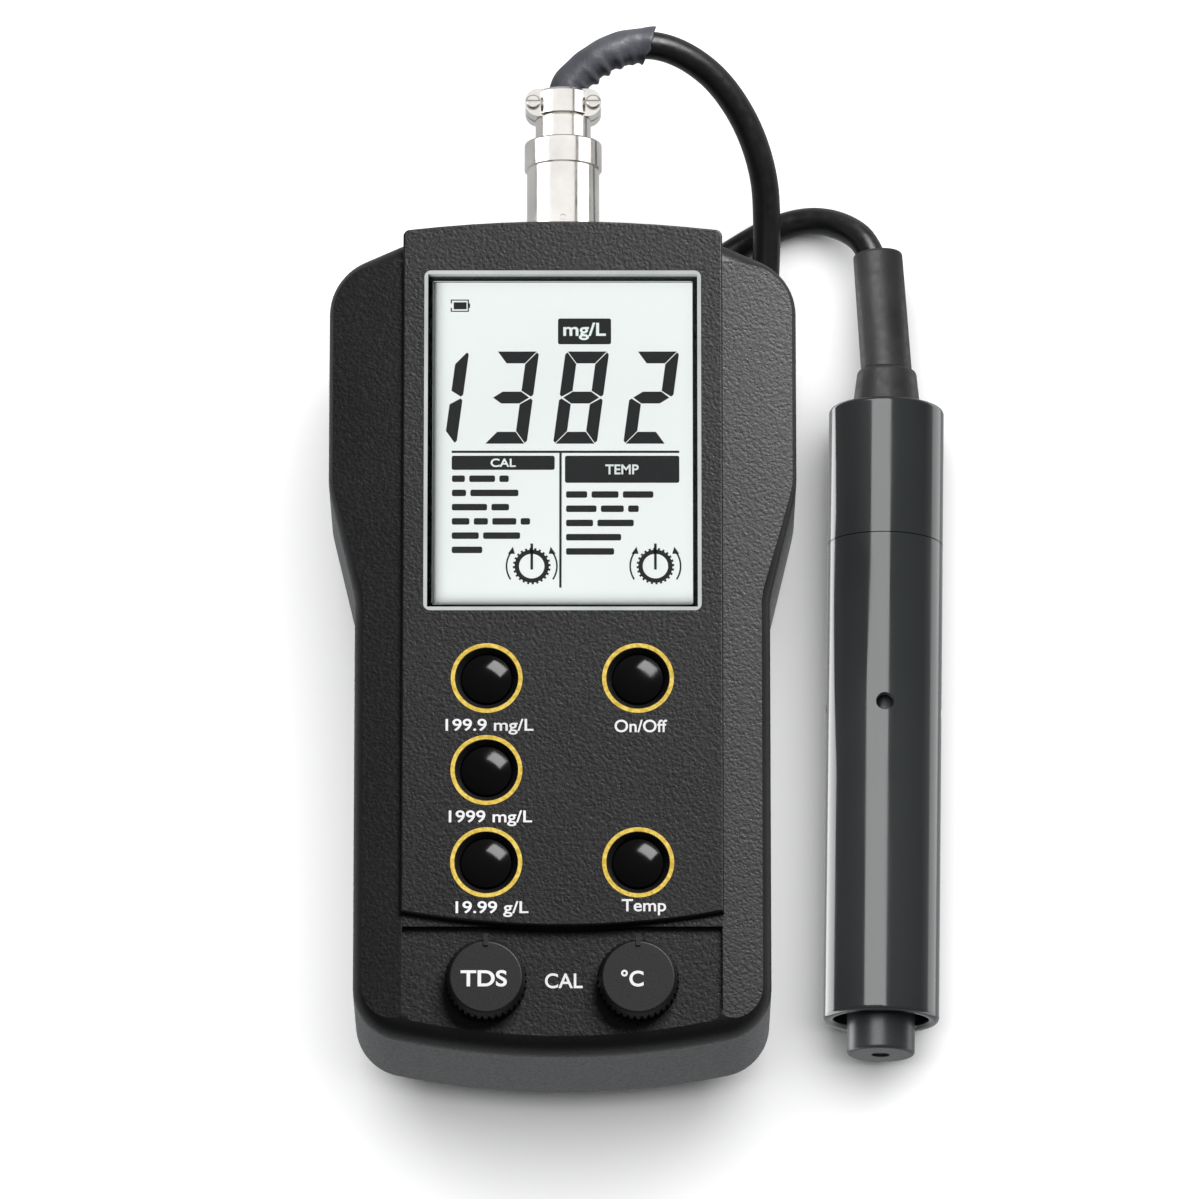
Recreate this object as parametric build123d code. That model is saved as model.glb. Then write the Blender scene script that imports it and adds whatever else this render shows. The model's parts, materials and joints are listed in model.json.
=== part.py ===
from build123d import *
import os
from math import cos, radians, sin, tan

# Handheld total dissolved solids meter with a corded probe, lying on a table with its display up.
# Every size is in millimetres. Plan positions are measured from the middle of the meter:
# +X to the right of the display, +Y towards the connector end. Heights inside the meter are
# measured from its flat back, and the meter is then lifted onto its own coiled cable.

# Meter housing
body_length = 146.0
head_width = 80.0
grip_width = 70.8
plate_height = 36.0
front_height = 35.0
parting_height = 18.0
wall = 2.4
back_wall = 2.2
edge_radius = 4.0
end_bulge_radius = 135.0
grip_corner_radius = 9.0
waist_low_y = 7.0
waist_high_y = 26.5
waist_radius = 15.0
shoulder_inner_x = 27.35
shoulder_inner_y = 69.8
shoulder_outer_y = 64.1
shoulder_radius = 10.2
shoulder_blend_radius = 8.0
end_crown = 0.4
crown_radius = 232.0
crown_top = 36.6
lip_width = 1.1
lip_height = 1.0
lip_gap = 0.1
shell_gap = 0.3

# Raised front plate and the knob recess below it
plate_half_width = 27.35
plate_end_drop = 1.65
plate_foot_y = -51.2
plate_foot_rise = 2.5
plate_foot_slope = 0.8
plate_corner_radius = 1.2
plate_edge = 0.35
recess_floor = 34.0
recess_half_width = 27.1
recess_foot_y = -70.1
recess_foot_radius = 124.0
recess_corner_radius = 2.6
inner_roof = 31.8
plate_roof = 33.4
roof_half_width = 26.6
roof_foot_y = -46.0

# Display
window_width = 47.5
window_length = 60.4
window_centre_y = 34.0
window_corner = 1.2
lens_seat = 34.3
lens_thickness = 1.5
lens_bevel = 0.9
gasket_width = 0.7
opening_inset = 1.5
glass_width = 48.8
glass_length = 61.2
glass_thickness = 2.2
glass_top = 33.0
frame_wall = 1.2
frame_gap = 0.2
frame_ledge = 3.0
frame_ledge_thickness = 1.0
zebra_width = 1.6
zebra_inset = 1.6
zebra_length = 52.0

# Buttons, all alike
button_x = 12.85
button_top_y = -8.1
button_pitch = 16.1
cap_radius = 4.2
cap_gap = 0.3
cap_edge_height = 35.4
cap_dome = 1.2
flange_radius = 5.1
flange_thickness = 0.9
flange_gap = 0.2
stem_radius = 1.6
dish_radius = 5.3
dish_depth = 1.0
ring_inner_radius = 5.4
ring_outer_radius = 6.1
ring_seat_depth = 0.5
ring_proud = 0.08
ring_clearance = 0.05
button_travel = 0.8

# Circuit board and what stands on it
board_under = 22.4
board_thickness = 1.6
board_half_width = 30.6
board_head_y = 64.0
board_foot_y = -67.5
board_neck_y = -58.0
board_neck_half_width = 24.0
board_notch_half_width = 9.0
board_notch_y = 56.0
board_corner = 2.0
board_screw_x = 28.3
board_screw_ys = (51.0, -44.0)
board_boss_radius = 2.3
board_screw_radius = 0.95
board_screw_head_radius = 2.0
board_screw_head = 1.4
board_screw_length = 8.0
switch_size = 6.0
switch_height = 3.5
plunger_radius = 1.7
plunger_rise = 1.1
plunger_depth = 0.4
plunger_gap = 0.05
chip_height = 1.6

# Calibration knobs on potentiometer shafts
knob_x = 12.85
knob_y = -60.6
knob_radius = 6.9
knob_top_radius = 6.1
knob_lift = 0.3
knob_height = 3.6
knob_skirt = 2.0
knob_edge = 0.35
flute_count = 36
flute_radius = 0.32
pointer_width = 0.8
pointer_inner = 5.4
pointer_outer = 7.7
pointer_rise = 0.25
shaft_radius = 3.0
shaft_gap = 0.05
shaft_hole_gap = 0.4
shaft_flat = 0.8
shaft_top_cover = 1.2
pot_size = 9.6
pot_height = 5.5
bushing_radius = 3.9
bushing_height = 1.9
pot_floor = 1.4

# Battery, its compartment and its sliding cover
battery_width = 26.5
battery_length = 48.5
battery_height = 17.5
battery_edge = 1.6
battery_floor_gap = 0.4
battery_end_gap = 0.3
stud_radius = 2.9
stud_length = 3.0
stud_spacing = 12.7
snap_thickness = 4.6
snap_width = 24.5
snap_height = 12.0
lead_radius = 0.7
cover_half_width = 15.5
cover_top_y = -13.0
cover_thickness = 2.0
cover_gap = 0.2
tongue_width = 1.0
tongue_floor = 1.1
tongue_gap = 0.15
grip_groove_count = 6
grip_groove_pitch = 2.6
grip_groove_y = -24.0
grip_groove_half_width = 8.0
grip_groove_depth = 0.45
box_wall = 1.5
box_roof = 20.4
box_roof_thickness = 1.4
rib_thickness = 1.4
rib_ys = (-60.0, -44.0, -28.0)
rib_gap = 0.25

# Bare recess for a rating label on the back
label_inset = 6.0
label_depth = 0.6
label_foot_y = -9.6
label_head_y = 66.6

# Housing screws, driven from the back
upper_screw = (33.6, 54.0)
lower_screw = (28.2, -62.5)
screw_boss_radius = 3.6
screw_post_radius = 2.5
screw_head_radius = 2.3
screw_head_height = 1.8
screw_head_gap = 0.25
screw_seat = 9.0
screw_radius = 1.2
screw_gap = 0.15
screw_length = 14.0
socket_drive_radius = 1.0
socket_drive_depth = 0.9

# Connector at the head end: socket on the meter, push-pull plug on the cable
socket_flange_radius = 7.4
socket_flange = 1.1
socket_body_radius = 5.8
socket_body_end = 60.0
socket_hole_gap = 0.2
socket_lip_radius = 5.2
socket_lip_end = 81.0
socket_bore_radius = 4.45
insert_radius = 4.4
insert_head = 74.8
insert_foot = 62.5
nut_radius = 7.6
nut_thickness = 2.4
nut_thread_gap = 0.05
contact_count = 6
contact_circle = 2.5
contact_radius = 0.8
contact_bore = 0.55
contact_gap = 0.05
contact_head = 74.4
contact_tail = 58.5
pin_radius = 0.45
pin_tip = 69.0
pin_foot = 85.5
plug_nose_radius = 4.35
plug_nose_end = 75.4
plug_shoulder = 82.5
plug_radius = 4.8
plug_end = 96.4
plug_bore_radius = 3.6
plug_insert_head = 76.0
plug_insert_foot = 84.0
plug_insert_gap = 0.05
sleeve_bore_gap = 0.08
sleeve_lip_gap = 0.3
latch_radius = 6.25
latch_front = 74.7
latch_collar = 87.5
latch_end = 92.2
collar_radius = 6.7
latch_mark_radius = 0.5
latch_mark_y = 77.3
latch_mark_depth = 0.3
clamp_length = 5.0
clamp_face_gap = 0.05
clamp_bore_gap = 0.4
clamp_edge = 0.5
clamp_ear_round = 2.3
clamp_radius = 5.0
clamp_ear = 6.6
clamp_ear_height = 6.4
clamp_split = 0.5
clamp_screw_x = 5.2
clamp_screw_radius = 0.8
clamp_head_radius = 1.25
clamp_head_height = 1.0

# Cable
cord_diameter = 4.9
cord_gap = 0.05
shrink_wall = 0.4
shrink_start = 97.5
shrink_length = 22.0
coil_columns = 3
coil_layers = 2
coil_mean_radius = 24.2
coil_centre = (0.0, 24.0)
tie_thickness = 0.5
tie_angle = 16.0
coil_roof_gap = 0.3
plug_route_start = 96.7

# Probe, lying beside the meter
probe_x = 55.45
probe_turn_y = -5.0
probe_yaw = -0.862
probe_radius = 10.0
handle_top = 49.5
handle_seam = 25.1
handle_edge = 0.8
spigot_radius = 8.0
spigot_length = 14.0
handle_bore_radius = 2.8
sleeve_gap = 0.08
sleeve_seam_gap = 0.15
sleeve_end = -59.6
sleeve_edge = 0.75
vent_y = -5.2
vent_radius = 1.55
vent_count = 4
o_ring_radius = 0.6
o_ring_offset = 6.0
o_ring_groove_gap = 0.15
core_radius = 5.85
core_seat = 8.0
core_seat_gap = 0.03
core_tip = -65.4
tip_length = 3.0
tip_spigot_radius = 3.0
tip_spigot_length = 2.0
electrode_ys = (-22.0, -31.0, -40.0, -49.0)
electrode_width = 2.4
electrode_depth = 0.6
boot_collar_length = 7.2
boot_collar_radius = 5.95
boot_collar_top_radius = 5.1
boot_foot_y = 56.7
boot_top = (54.9, 78.0)
boot_radius = 4.42
boot_top_radius = 4.3
boot_edge = 0.7
boot_mouth_depth = 6.0

half_length = body_length / 2
cord_radius = cord_diameter / 2
shrink_radius = cord_radius + cord_gap + shrink_wall
button_places = {
    "range_low": (-button_x, button_top_y),
    "range_mid": (-button_x, button_top_y - button_pitch),
    "range_high": (-button_x, button_top_y - 2 * button_pitch),
    "power": (button_x, button_top_y),
    "temperature": (button_x, button_top_y - 2 * button_pitch),
}
knob_places = {"solids": (-knob_x, knob_y), "temperature": (knob_x, knob_y)}
housing_screws = [(side * x, y) for x, y in (upper_screw, lower_screw) for side in (-1, 1)]
board_screws = [(side * board_screw_x, y) for y in board_screw_ys for side in (-1, 1)]
board_top = board_under + board_thickness
sleeve_bore_radius = spigot_radius + sleeve_gap

# The coil is a neat ring of cable; the back of the meter lies just above it
coil_width = coil_columns * cord_diameter
coil_height = coil_layers * cord_diameter
coil_outer_radius = coil_mean_radius + coil_width / 2
meter_lift = tie_thickness + coil_height + tie_thickness + coil_roof_gap - label_depth
plug_height = meter_lift + parting_height
probe_height = probe_radius
clamp_start = plug_end + clamp_face_gap
clamp_screw_seat = clamp_ear_height / 2 - 0.3
clamp_screw_places = [(side * clamp_screw_x, clamp_start + clamp_length / 2) for side in (-1, 1)]


def upright(radius, low, high, x=0.0, y=0.0):
    """Cylinder that stands along Z from height low to height high."""
    return Pos(x, y, low) * Cylinder(radius, high - low, align=(Align.CENTER, Align.CENTER, Align.MIN))


def along(radius, start, end, x=0.0, z=0.0):
    """Cylinder that lies along Y from start to end."""
    rod = Cylinder(radius, end - start, align=(Align.CENTER, Align.CENTER, Align.MIN))
    return Pos(x, start, z) * Rot(-90, 0, 0) * rod


def block(x, y, z):
    """Box between two values on each axis."""
    size = [high - low for low, high in (x, y, z)]
    return Pos(x[0], y[0], z[0]) * Box(*size, align=(Align.MIN, Align.MIN, Align.MIN))


def prism(sketch, low, high):
    """Plan outline carried from height low to height high."""
    return extrude(Pos(0, 0, low) * sketch, amount=high - low, dir=(0, 0, 1))


def at_all(places, make):
    """Copies of one piece, one for each (x, y) place."""
    return [Pos(x, y, 0) * make for x, y in places]


def together(pieces):
    """Group of separate solids that share one node."""
    return Compound([piece.solid() for piece in pieces])


def drop_of(radius, half_width):
    """How far an arc of this radius falls from its middle to half_width."""
    return radius - (radius**2 - half_width**2) ** 0.5


# Plan outline of the housing

def near(sketch, x, y):
    """The outline's two mirrored corners next to (+-x, y)."""
    return [
        sketch.vertices().sort_by(lambda v: (v.X - side * x) ** 2 + (v.Y - y) ** 2)[0] for side in (-1, 1)
    ]


def body_outline():
    grip, head = grip_width / 2, head_width / 2
    foot_corner_y = -half_length + drop_of(end_bulge_radius, grip)
    head_y = half_length - end_crown
    right = Polyline(
        (grip, foot_corner_y),
        (grip, waist_low_y),
        (head, waist_high_y),
        (head, shoulder_outer_y),
        (shoulder_inner_x, shoulder_inner_y),
    )
    foot = ThreePointArc((-grip, foot_corner_y), (0, -half_length), (grip, foot_corner_y))
    top = ThreePointArc((shoulder_inner_x, shoulder_inner_y), (0, head_y), (-shoulder_inner_x, shoulder_inner_y))
    outline = make_face([*right.edges(), *mirror(right, Plane.YZ).edges(), foot, top])
    corners = [
        (grip, foot_corner_y, grip_corner_radius),
        (grip, waist_low_y, waist_radius),
        (head, waist_high_y, waist_radius),
        (head, shoulder_outer_y, shoulder_radius),
        (shoulder_inner_x, shoulder_inner_y, shoulder_blend_radius),
    ]
    for x, y, radius in corners:
        outline = fillet(near(outline, x, y), radius)
    return outline


def inset(sketch, distance):
    return offset(sketch, amount=-distance, kind=Kind.ARC)


outline = body_outline()
cavity_outline = inset(outline, wall)


def lip_band(gap):
    """Ring on the inner half of the wall, where the two shells overlap."""
    return inset(outline, wall - lip_width - gap) - inset(outline, wall)


# Front shell

def plate_sketch():
    """Outline of the raised plate: bowed head end, bowed foot above the knobs."""
    foot_y = plate_foot_y - plate_foot_slope
    head = ThreePointArc(
        (plate_half_width, half_length - plate_end_drop),
        (0, half_length),
        (-plate_half_width, half_length - plate_end_drop),
    )
    foot = ThreePointArc(
        (-plate_half_width, foot_y + plate_foot_rise), (0, foot_y), (plate_half_width, foot_y + plate_foot_rise)
    )
    right = Line(foot @ 1, head @ 0)
    left = Line(head @ 1, foot @ 0)
    sketch = make_face([foot, right, head, left])
    return fillet(near(sketch, plate_half_width, half_length), plate_corner_radius)


def knob_recess_sketch():
    """Pocket round the two knobs, open under the plate's foot."""
    corner_y = recess_foot_y + drop_of(recess_foot_radius, recess_half_width)
    foot = ThreePointArc((-recess_half_width, corner_y), (0, recess_foot_y), (recess_half_width, corner_y))
    sides = Polyline(foot @ 1, (recess_half_width, plate_foot_y), (-recess_half_width, plate_foot_y), foot @ 0)
    sketch = make_face([foot, *sides.edges()])
    return fillet(near(sketch, recess_half_width, corner_y), recess_corner_radius)


def front_form():
    """Outside of the front shell: rounded, crowned at the sides, with plate and recess."""
    form = prism(outline, parting_height, front_height)
    form = fillet(form.faces().sort_by(Axis.Z)[-1].edges(), edge_radius)
    crown = along(crown_radius, -body_length, body_length, z=crown_top - crown_radius)
    form = form & crown
    form -= prism(knob_recess_sketch(), recess_floor, plate_height)
    plate = prism(plate_sketch(), recess_floor, plate_height)
    foot_edge = plate.faces().sort_by(Axis.Z)[-1].edges().sort_by(Axis.Y)[0]
    top_face = plate.faces().sort_by(Axis.Z)[-1]
    plate = chamfer(foot_edge, plate_foot_slope, plate_height - recess_floor - 0.1, reference=top_face)
    head_block = block(
        (-plate_half_width, plate_half_width), (shoulder_outer_y, body_length), (parting_height, plate_height)
    )
    bulge = prism(plate_sketch(), parting_height, plate_height) & head_block
    plate_and_bulge = plate + bulge
    rim = plate_and_bulge.faces().sort_by(Axis.Z)[-1].edges()
    plate_and_bulge = fillet(rim, plate_edge)
    return form + plate_and_bulge


def window_sketch(grow=0.0):
    return Pos(0, window_centre_y) * RectangleRounded(
        window_width + 2 * grow, window_length + 2 * grow, max(window_corner + grow, 0.3)
    )


def pane_sketch(inset_by):
    """Square-cornered rectangle inside the window's edge."""
    return Pos(0, window_centre_y) * Rectangle(window_width - 2 * inset_by, window_length - 2 * inset_by)


def button_hole():
    """Hole, dished mouth and seat of the coloured ring."""
    mouth = Pos(0, 0, plate_height - dish_depth) * Cone(
        cap_radius + cap_gap, dish_radius, dish_depth, align=(Align.CENTER, Align.CENTER, Align.MIN)
    )
    seat_low = plate_height - ring_seat_depth
    seat = upright(ring_outer_radius + ring_clearance, seat_low, plate_height + 1)
    seat -= upright(ring_inner_radius - ring_clearance, seat_low - 1, plate_height + 2)
    return upright(cap_radius + cap_gap, inner_roof, plate_height) + mouth + seat


def front_shell():
    shell = front_form()
    shell -= prism(cavity_outline, parting_height, inner_roof)
    roof = block((-roof_half_width, roof_half_width), (roof_foot_y, board_head_y + 3), (inner_roof, plate_roof))
    shell -= roof
    shell -= prism(lip_band(lip_gap), parting_height, parting_height + lip_height + lip_gap)
    shell -= prism(window_sketch(), lens_seat, plate_height + 1)
    shell -= prism(window_sketch(-opening_inset), inner_roof, plate_height)
    for hole in at_all(button_places.values(), button_hole()):
        shell -= hole
    for x, y in knob_places.values():
        shell -= upright(shaft_radius + shaft_hole_gap, inner_roof - 1, plate_height, x, y)
    for x, y in board_screws:
        boss = upright(board_boss_radius, board_top, plate_roof + 0.5, x, y)
        shell += boss
        shell -= upright(board_screw_radius, board_top - 1, board_top + board_screw_length, x, y)
    for x, y in housing_screws:
        shell += upright(screw_post_radius, parting_height, inner_roof + 0.5, x, y)
        shell -= upright(screw_radius, parting_height - 1, screw_seat + screw_length + 1, x, y)
    shell -= along(socket_body_radius + socket_hole_gap, socket_body_end, body_length, z=parting_height)
    return shell


# Rear shell and battery cover

def rear_form():
    """Outside of the rear shell with its rounded back edge."""
    form = prism(outline, 0, parting_height)
    return fillet(form.faces().sort_by(Axis.Z)[0].edges(), edge_radius)


def cover_opening():
    """Stepped slot that the battery cover and its side tongues slide in."""
    wide = cover_half_width + tongue_width + cover_gap
    narrow = cover_half_width + cover_gap
    ceiling = cover_thickness + 0.25
    slot = block((-narrow, narrow), (-body_length, cover_top_y + cover_gap), (-1, ceiling))
    return slot + block(
        (-wide, wide), (-body_length, cover_top_y + cover_gap), (tongue_floor - tongue_gap, ceiling)
    )


def battery_box():
    """Walls, ribs and roof that keep the battery away from the board."""
    inner = cover_half_width + tongue_width + cover_gap
    outer = inner + box_wall
    foot = -half_length + wall
    head = cover_top_y + cover_gap
    tall = box_roof + box_roof_thickness
    clear_foot = foot + drop_of(end_bulge_radius - wall, outer) + shell_gap
    box = block((-outer, outer), (foot - 0.5, head + box_wall), (back_wall - 0.5, parting_height))
    box += block((-outer, outer), (clear_foot, head + box_wall), (parting_height - 1, tall))
    box -= block((-inner, inner), (foot - 1, head), (0, box_roof))
    rib_inner = battery_width / 2 + rib_gap
    for y in rib_ys:
        for side in (-1, 1):
            span = sorted((side * rib_inner, side * (inner + 0.3)))
            box += block(span, (y, y + rib_thickness), (cover_thickness + 0.6, box_roof + 0.2))
    lead_slot = block((-4.0, 4.0), (head - 0.5, head + box_wall + 0.5), (box_roof - 6.0, box_roof))
    return box - lead_slot


def label_panel():
    """Bare sunken panel on the back, following the housing's outline."""
    field = inset(outline, label_inset)
    band = Pos(0, (label_foot_y + label_head_y) / 2) * Rectangle(body_length, label_head_y - label_foot_y)
    return prism(field & band, -1, label_depth)


def rear_shell():
    shell = rear_form()
    shell -= prism(cavity_outline, back_wall, parting_height)
    shell += prism(lip_band(0), parting_height - 0.5, parting_height + lip_height)
    for x, y in housing_screws:
        shell += upright(screw_boss_radius, back_wall - 0.5, parting_height, x, y)
    shell += battery_box()
    shell -= cover_opening()
    shell -= label_panel()
    for x, y in housing_screws:
        shell -= upright(screw_head_radius + screw_head_gap, -1, screw_seat, x, y)
        shell -= upright(screw_radius + screw_gap, screw_seat - 1, parting_height + 1, x, y)
    shell -= along(socket_body_radius + socket_hole_gap, socket_body_end, body_length, z=parting_height)
    return shell


def battery_cover():
    """Panel cut from the back and the rounded foot, with side tongues and thumb grooves."""
    panel = block((-cover_half_width, cover_half_width), (-body_length, cover_top_y), (-1, cover_thickness))
    tongue = cover_half_width + tongue_width
    panel += block((-tongue, tongue), (-body_length, cover_top_y), (tongue_floor, cover_thickness))
    cover = rear_form() & panel
    half = grip_groove_half_width
    for index in range(grip_groove_count):
        y = grip_groove_y - index * grip_groove_pitch
        groove = block((-half, half), (y, y + grip_groove_pitch / 2), (-1, grip_groove_depth))
        cover -= groove
    return cover


# Display stack

def display_lens():
    pane = prism(pane_sketch(gasket_width + ring_clearance), lens_seat, lens_seat + lens_thickness)
    return chamfer(pane.faces().sort_by(Axis.Z)[-1].edges(), lens_bevel)


def lens_gasket():
    band = window_sketch(-ring_clearance) - pane_sketch(gasket_width)
    return prism(band, lens_seat, plate_height - 0.1)


def lcd_glass():
    size = (glass_width, glass_length)
    return prism(Pos(0, window_centre_y) * Rectangle(*size), glass_top - glass_thickness, glass_top)


def lcd_frame():
    """Moulded frame that stands on the board and holds the display glass."""
    width = glass_width + 2 * frame_gap
    length = glass_length + 2 * frame_gap
    under_glass = glass_top - glass_thickness
    outer = Pos(0, window_centre_y) * RectangleRounded(width + 2 * frame_wall, length + 2 * frame_wall, 1.5)
    frame = prism(outer, board_top, glass_top)
    frame -= block(
        (-width / 2, width / 2),
        (window_centre_y - length / 2, window_centre_y + length / 2),
        (board_top - 1, glass_top + 1),
    )
    reach = width / 2 - zebra_inset - 2 * zebra_width
    for side in (-1, 1):
        end = window_centre_y + side * length / 2
        span = sorted((end + side * 0.3, end - side * frame_ledge))
        frame += block((-reach, reach), span, (under_glass - frame_ledge_thickness, under_glass))
    return frame


def zebra_strips():
    """Two strips that carry the segment signals from the board up to the glass."""
    x = glass_width / 2 - zebra_inset
    low, high = window_centre_y - zebra_length / 2, window_centre_y + zebra_length / 2
    height = (board_top, glass_top - glass_thickness)
    return together(
        block(sorted((side * x, side * (x - zebra_width))), (low, high), height) for side in (-1, 1)
    )


# Circuit board and its components

def main_board():
    right = Polyline(
        (0, board_foot_y),
        (board_neck_half_width, board_foot_y),
        (board_neck_half_width, board_neck_y),
        (board_half_width, board_neck_y),
        (board_half_width, board_head_y),
        (board_notch_half_width, board_head_y),
        (board_notch_half_width, board_notch_y),
        (0, board_notch_y),
    )
    sketch = make_face([*right.edges(), *mirror(right, Plane.YZ).edges()])
    for x, y in ((board_half_width, board_head_y), (board_neck_half_width, board_foot_y)):
        sketch = fillet(near(sketch, x, y), board_corner)
    board = prism(sketch, board_under, board_top)
    for x, y in board_screws:
        board -= upright(board_screw_radius + 0.3, board_under - 1, board_top + 1, x, y)
    return board


def chip(x, y, width, length, height=chip_height):
    body = block((x - width / 2, x + width / 2), (y - length / 2, y + length / 2), (board_top, board_top + height))
    return chamfer(body.edges().group_by(Axis.Z)[-1], 0.2)


def board_chips():
    """Converter, display driver and regulator packages between the buttons and knobs."""
    places = [
        (0, -22.0, 7.5, 12.0),
        (0, -38.0, 7.5, 10.0),
        (12.0, -24.2, 5.0, 6.0),
        (0, 34.0, 12.0, 12.0),
        (-22.5, -30.0, 4.0, 7.0),
        (22.5, -20.0, 4.0, 7.0),
    ]
    return together(chip(*place) for place in places)


def tactile_switches():
    half = switch_size / 2
    body = block((-half, half), (-half, half), (board_top, board_top + switch_height))
    body = chamfer(body.edges().group_by(Axis.Z)[-1], 0.3)
    floor = board_top + switch_height - plunger_depth - button_travel - 0.2
    body -= upright(plunger_radius + plunger_gap, floor, board_top + switch_height + 1)
    return together(at_all(button_places.values(), body))


def potentiometer_bodies():
    half = pot_size / 2
    body = block((-half, half), (-half, half), (board_top, board_top + pot_height))
    body = chamfer(body.edges().filter_by(Axis.Z), 0.8)
    body += upright(bushing_radius, board_top, board_top + pot_height + bushing_height)
    body -= upright(shaft_radius + shaft_gap, board_top + pot_floor, board_top + pot_height + bushing_height + 1)
    return together(at_all(knob_places.values(), body))


def board_screw_set():
    screw = upright(board_screw_head_radius, board_under - board_screw_head, board_under)
    screw += upright(board_screw_radius - 0.05, board_under - 0.1, board_top + board_screw_length - 0.5)
    drive = Pos(0, 0, board_under - board_screw_head) * Box(2.4, 0.6, 0.8)
    screw = screw - drive - Rot(0, 0, 90) * drive
    return together(at_all(board_screws, screw))


# Buttons

def button_rings():
    low = plate_height - ring_seat_depth
    ring = upright(ring_outer_radius, low, plate_height + ring_proud)
    ring -= upright(ring_inner_radius, low - 1, plate_height + 1)
    return together(at_all(button_places.values(), ring))


def button_cap():
    """Domed cap with a retaining flange below the plate and a stem down to the switch."""
    dome_radius = (cap_radius**2 + cap_dome**2) / (2 * cap_dome)
    flange_top = plate_roof - flange_gap
    stem_foot = board_top + switch_height + plunger_rise
    cap = upright(cap_radius, flange_top - flange_thickness, cap_edge_height + cap_dome)
    cap &= Pos(0, 0, cap_edge_height + cap_dome - dome_radius) * Sphere(dome_radius) + upright(
        cap_radius, 0, cap_edge_height - 0.1
    )
    cap += upright(flange_radius, flange_top - flange_thickness, flange_top)
    cap += upright(stem_radius, stem_foot, flange_top)
    return cap


def switch_plunger():
    top = board_top + switch_height
    return upright(plunger_radius, top - plunger_depth, top + plunger_rise)


# Knobs

def knob():
    low = recess_floor + knob_lift
    high = low + knob_height
    profile = Polyline(
        (0, low), (knob_radius, low), (knob_radius, low + knob_skirt), (knob_top_radius, high), (0, high), (0, low)
    )
    body = revolve(Plane.XZ * make_face(profile), Axis.Z)
    body = fillet(body.edges().filter_by(GeomType.CIRCLE).group_by(Axis.Z)[-1], knob_edge)
    for index in range(flute_count):
        angle = radians(360 * (index + 0.5) / flute_count)
        x, y = knob_radius * cos(angle), knob_radius * sin(angle)
        body -= upright(flute_radius, low - 1, high, x, y)
    half = pointer_width / 2
    pointer = block((-half, half), (pointer_inner, pointer_outer), (low + 0.6, high + pointer_rise))
    pointer = chamfer(pointer.edges().filter_by(Axis.X).sort_by(Axis.Y)[-1], 0.9)
    body += pointer
    return body - shaft_form(shaft_gap, high - shaft_top_cover)


def shaft_form(gap, high):
    """D-section shaft, grown by gap, from the potentiometer floor up to high."""
    low = board_top + pot_floor + 0.3
    rod = upright(shaft_radius + gap, low, high)
    flat = block(
        (shaft_radius - shaft_flat + gap, 2 * shaft_radius),
        (-2 * shaft_radius, 2 * shaft_radius),
        (recess_floor - 1, high + 1),
    )
    return rod - flat


def knob_shaft():
    return shaft_form(0, recess_floor + knob_lift + knob_height - shaft_top_cover - 0.1)


# Battery

battery_foot = -half_length + wall + drop_of(end_bulge_radius - wall, battery_width / 2) + battery_end_gap
battery_head = battery_foot + battery_length
battery_low = cover_thickness + battery_floor_gap
battery_middle = battery_low + battery_height / 2


def stud_places():
    return [(side * stud_spacing / 2, battery_middle) for side in (-1, 1)]


def battery():
    half = battery_width / 2
    case = block((-half, half), (battery_foot, battery_head), (battery_low, battery_low + battery_height))
    case = fillet(case.edges().filter_by(Axis.Y), battery_edge)
    for x, z in stud_places():
        case += along(stud_radius, battery_head - 0.2, battery_head + stud_length, x, z)
    return case


def battery_snap():
    """Connector that presses onto the battery's two studs."""
    half = snap_width / 2
    low, high = battery_middle - snap_height / 2, battery_middle + snap_height / 2
    start = battery_head + 0.1
    snap = block((-half, half), (start, start + snap_thickness), (low, high))
    snap = fillet(snap.edges().filter_by(Axis.Y), 2.0)
    for x, z in stud_places():
        snap -= along(stud_radius + 0.05, start - 1, battery_head + stud_length + 0.1, x, z)
    return snap


def lead(points, radius, bend):
    path = FilletPolyline(*points, radius=bend)
    return sweep(Plane(origin=path @ 0, z_dir=path % 0) * Circle(radius), path=path)


def battery_leads():
    """Two wires from the snap through the box's slot to the underside of the board."""
    start = battery_head + 0.1 + snap_thickness
    head = cover_top_y + cover_gap + box_wall
    wires = []
    for x in (-1.6, 1.6):
        points = [
            (x, start, battery_middle + 3.0),
            (x, start + 2.0, battery_middle + 3.0),
            (x, head - 1.2, box_roof - 3.0),
            (x, head + 4.0, box_roof - 3.0),
            (x, head + 4.0, board_under),
        ]
        wires.append(lead(points, lead_radius, 1.1))
    return together(wires)


# Housing screws

def housing_screw_set():
    screw = upright(screw_head_radius, screw_seat - screw_head_height, screw_seat)
    screw = fillet(screw.edges().group_by(Axis.Z)[0], 0.5)
    screw += upright(screw_radius - 0.05, screw_seat - 0.1, screw_seat + screw_length)
    drive = Box(2 * socket_drive_radius, 0.5, 2 * socket_drive_depth)
    drive += Rot(0, 0, 90) * drive
    screw -= Pos(0, 0, screw_seat - screw_head_height) * drive
    return together(at_all(housing_screws, screw))


# Connector on the meter

def contact_places():
    step = 360 / contact_count
    return [
        (contact_circle * cos(radians(step * i)), parting_height + contact_circle * sin(radians(step * i)))
        for i in range(contact_count)
    ]


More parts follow.
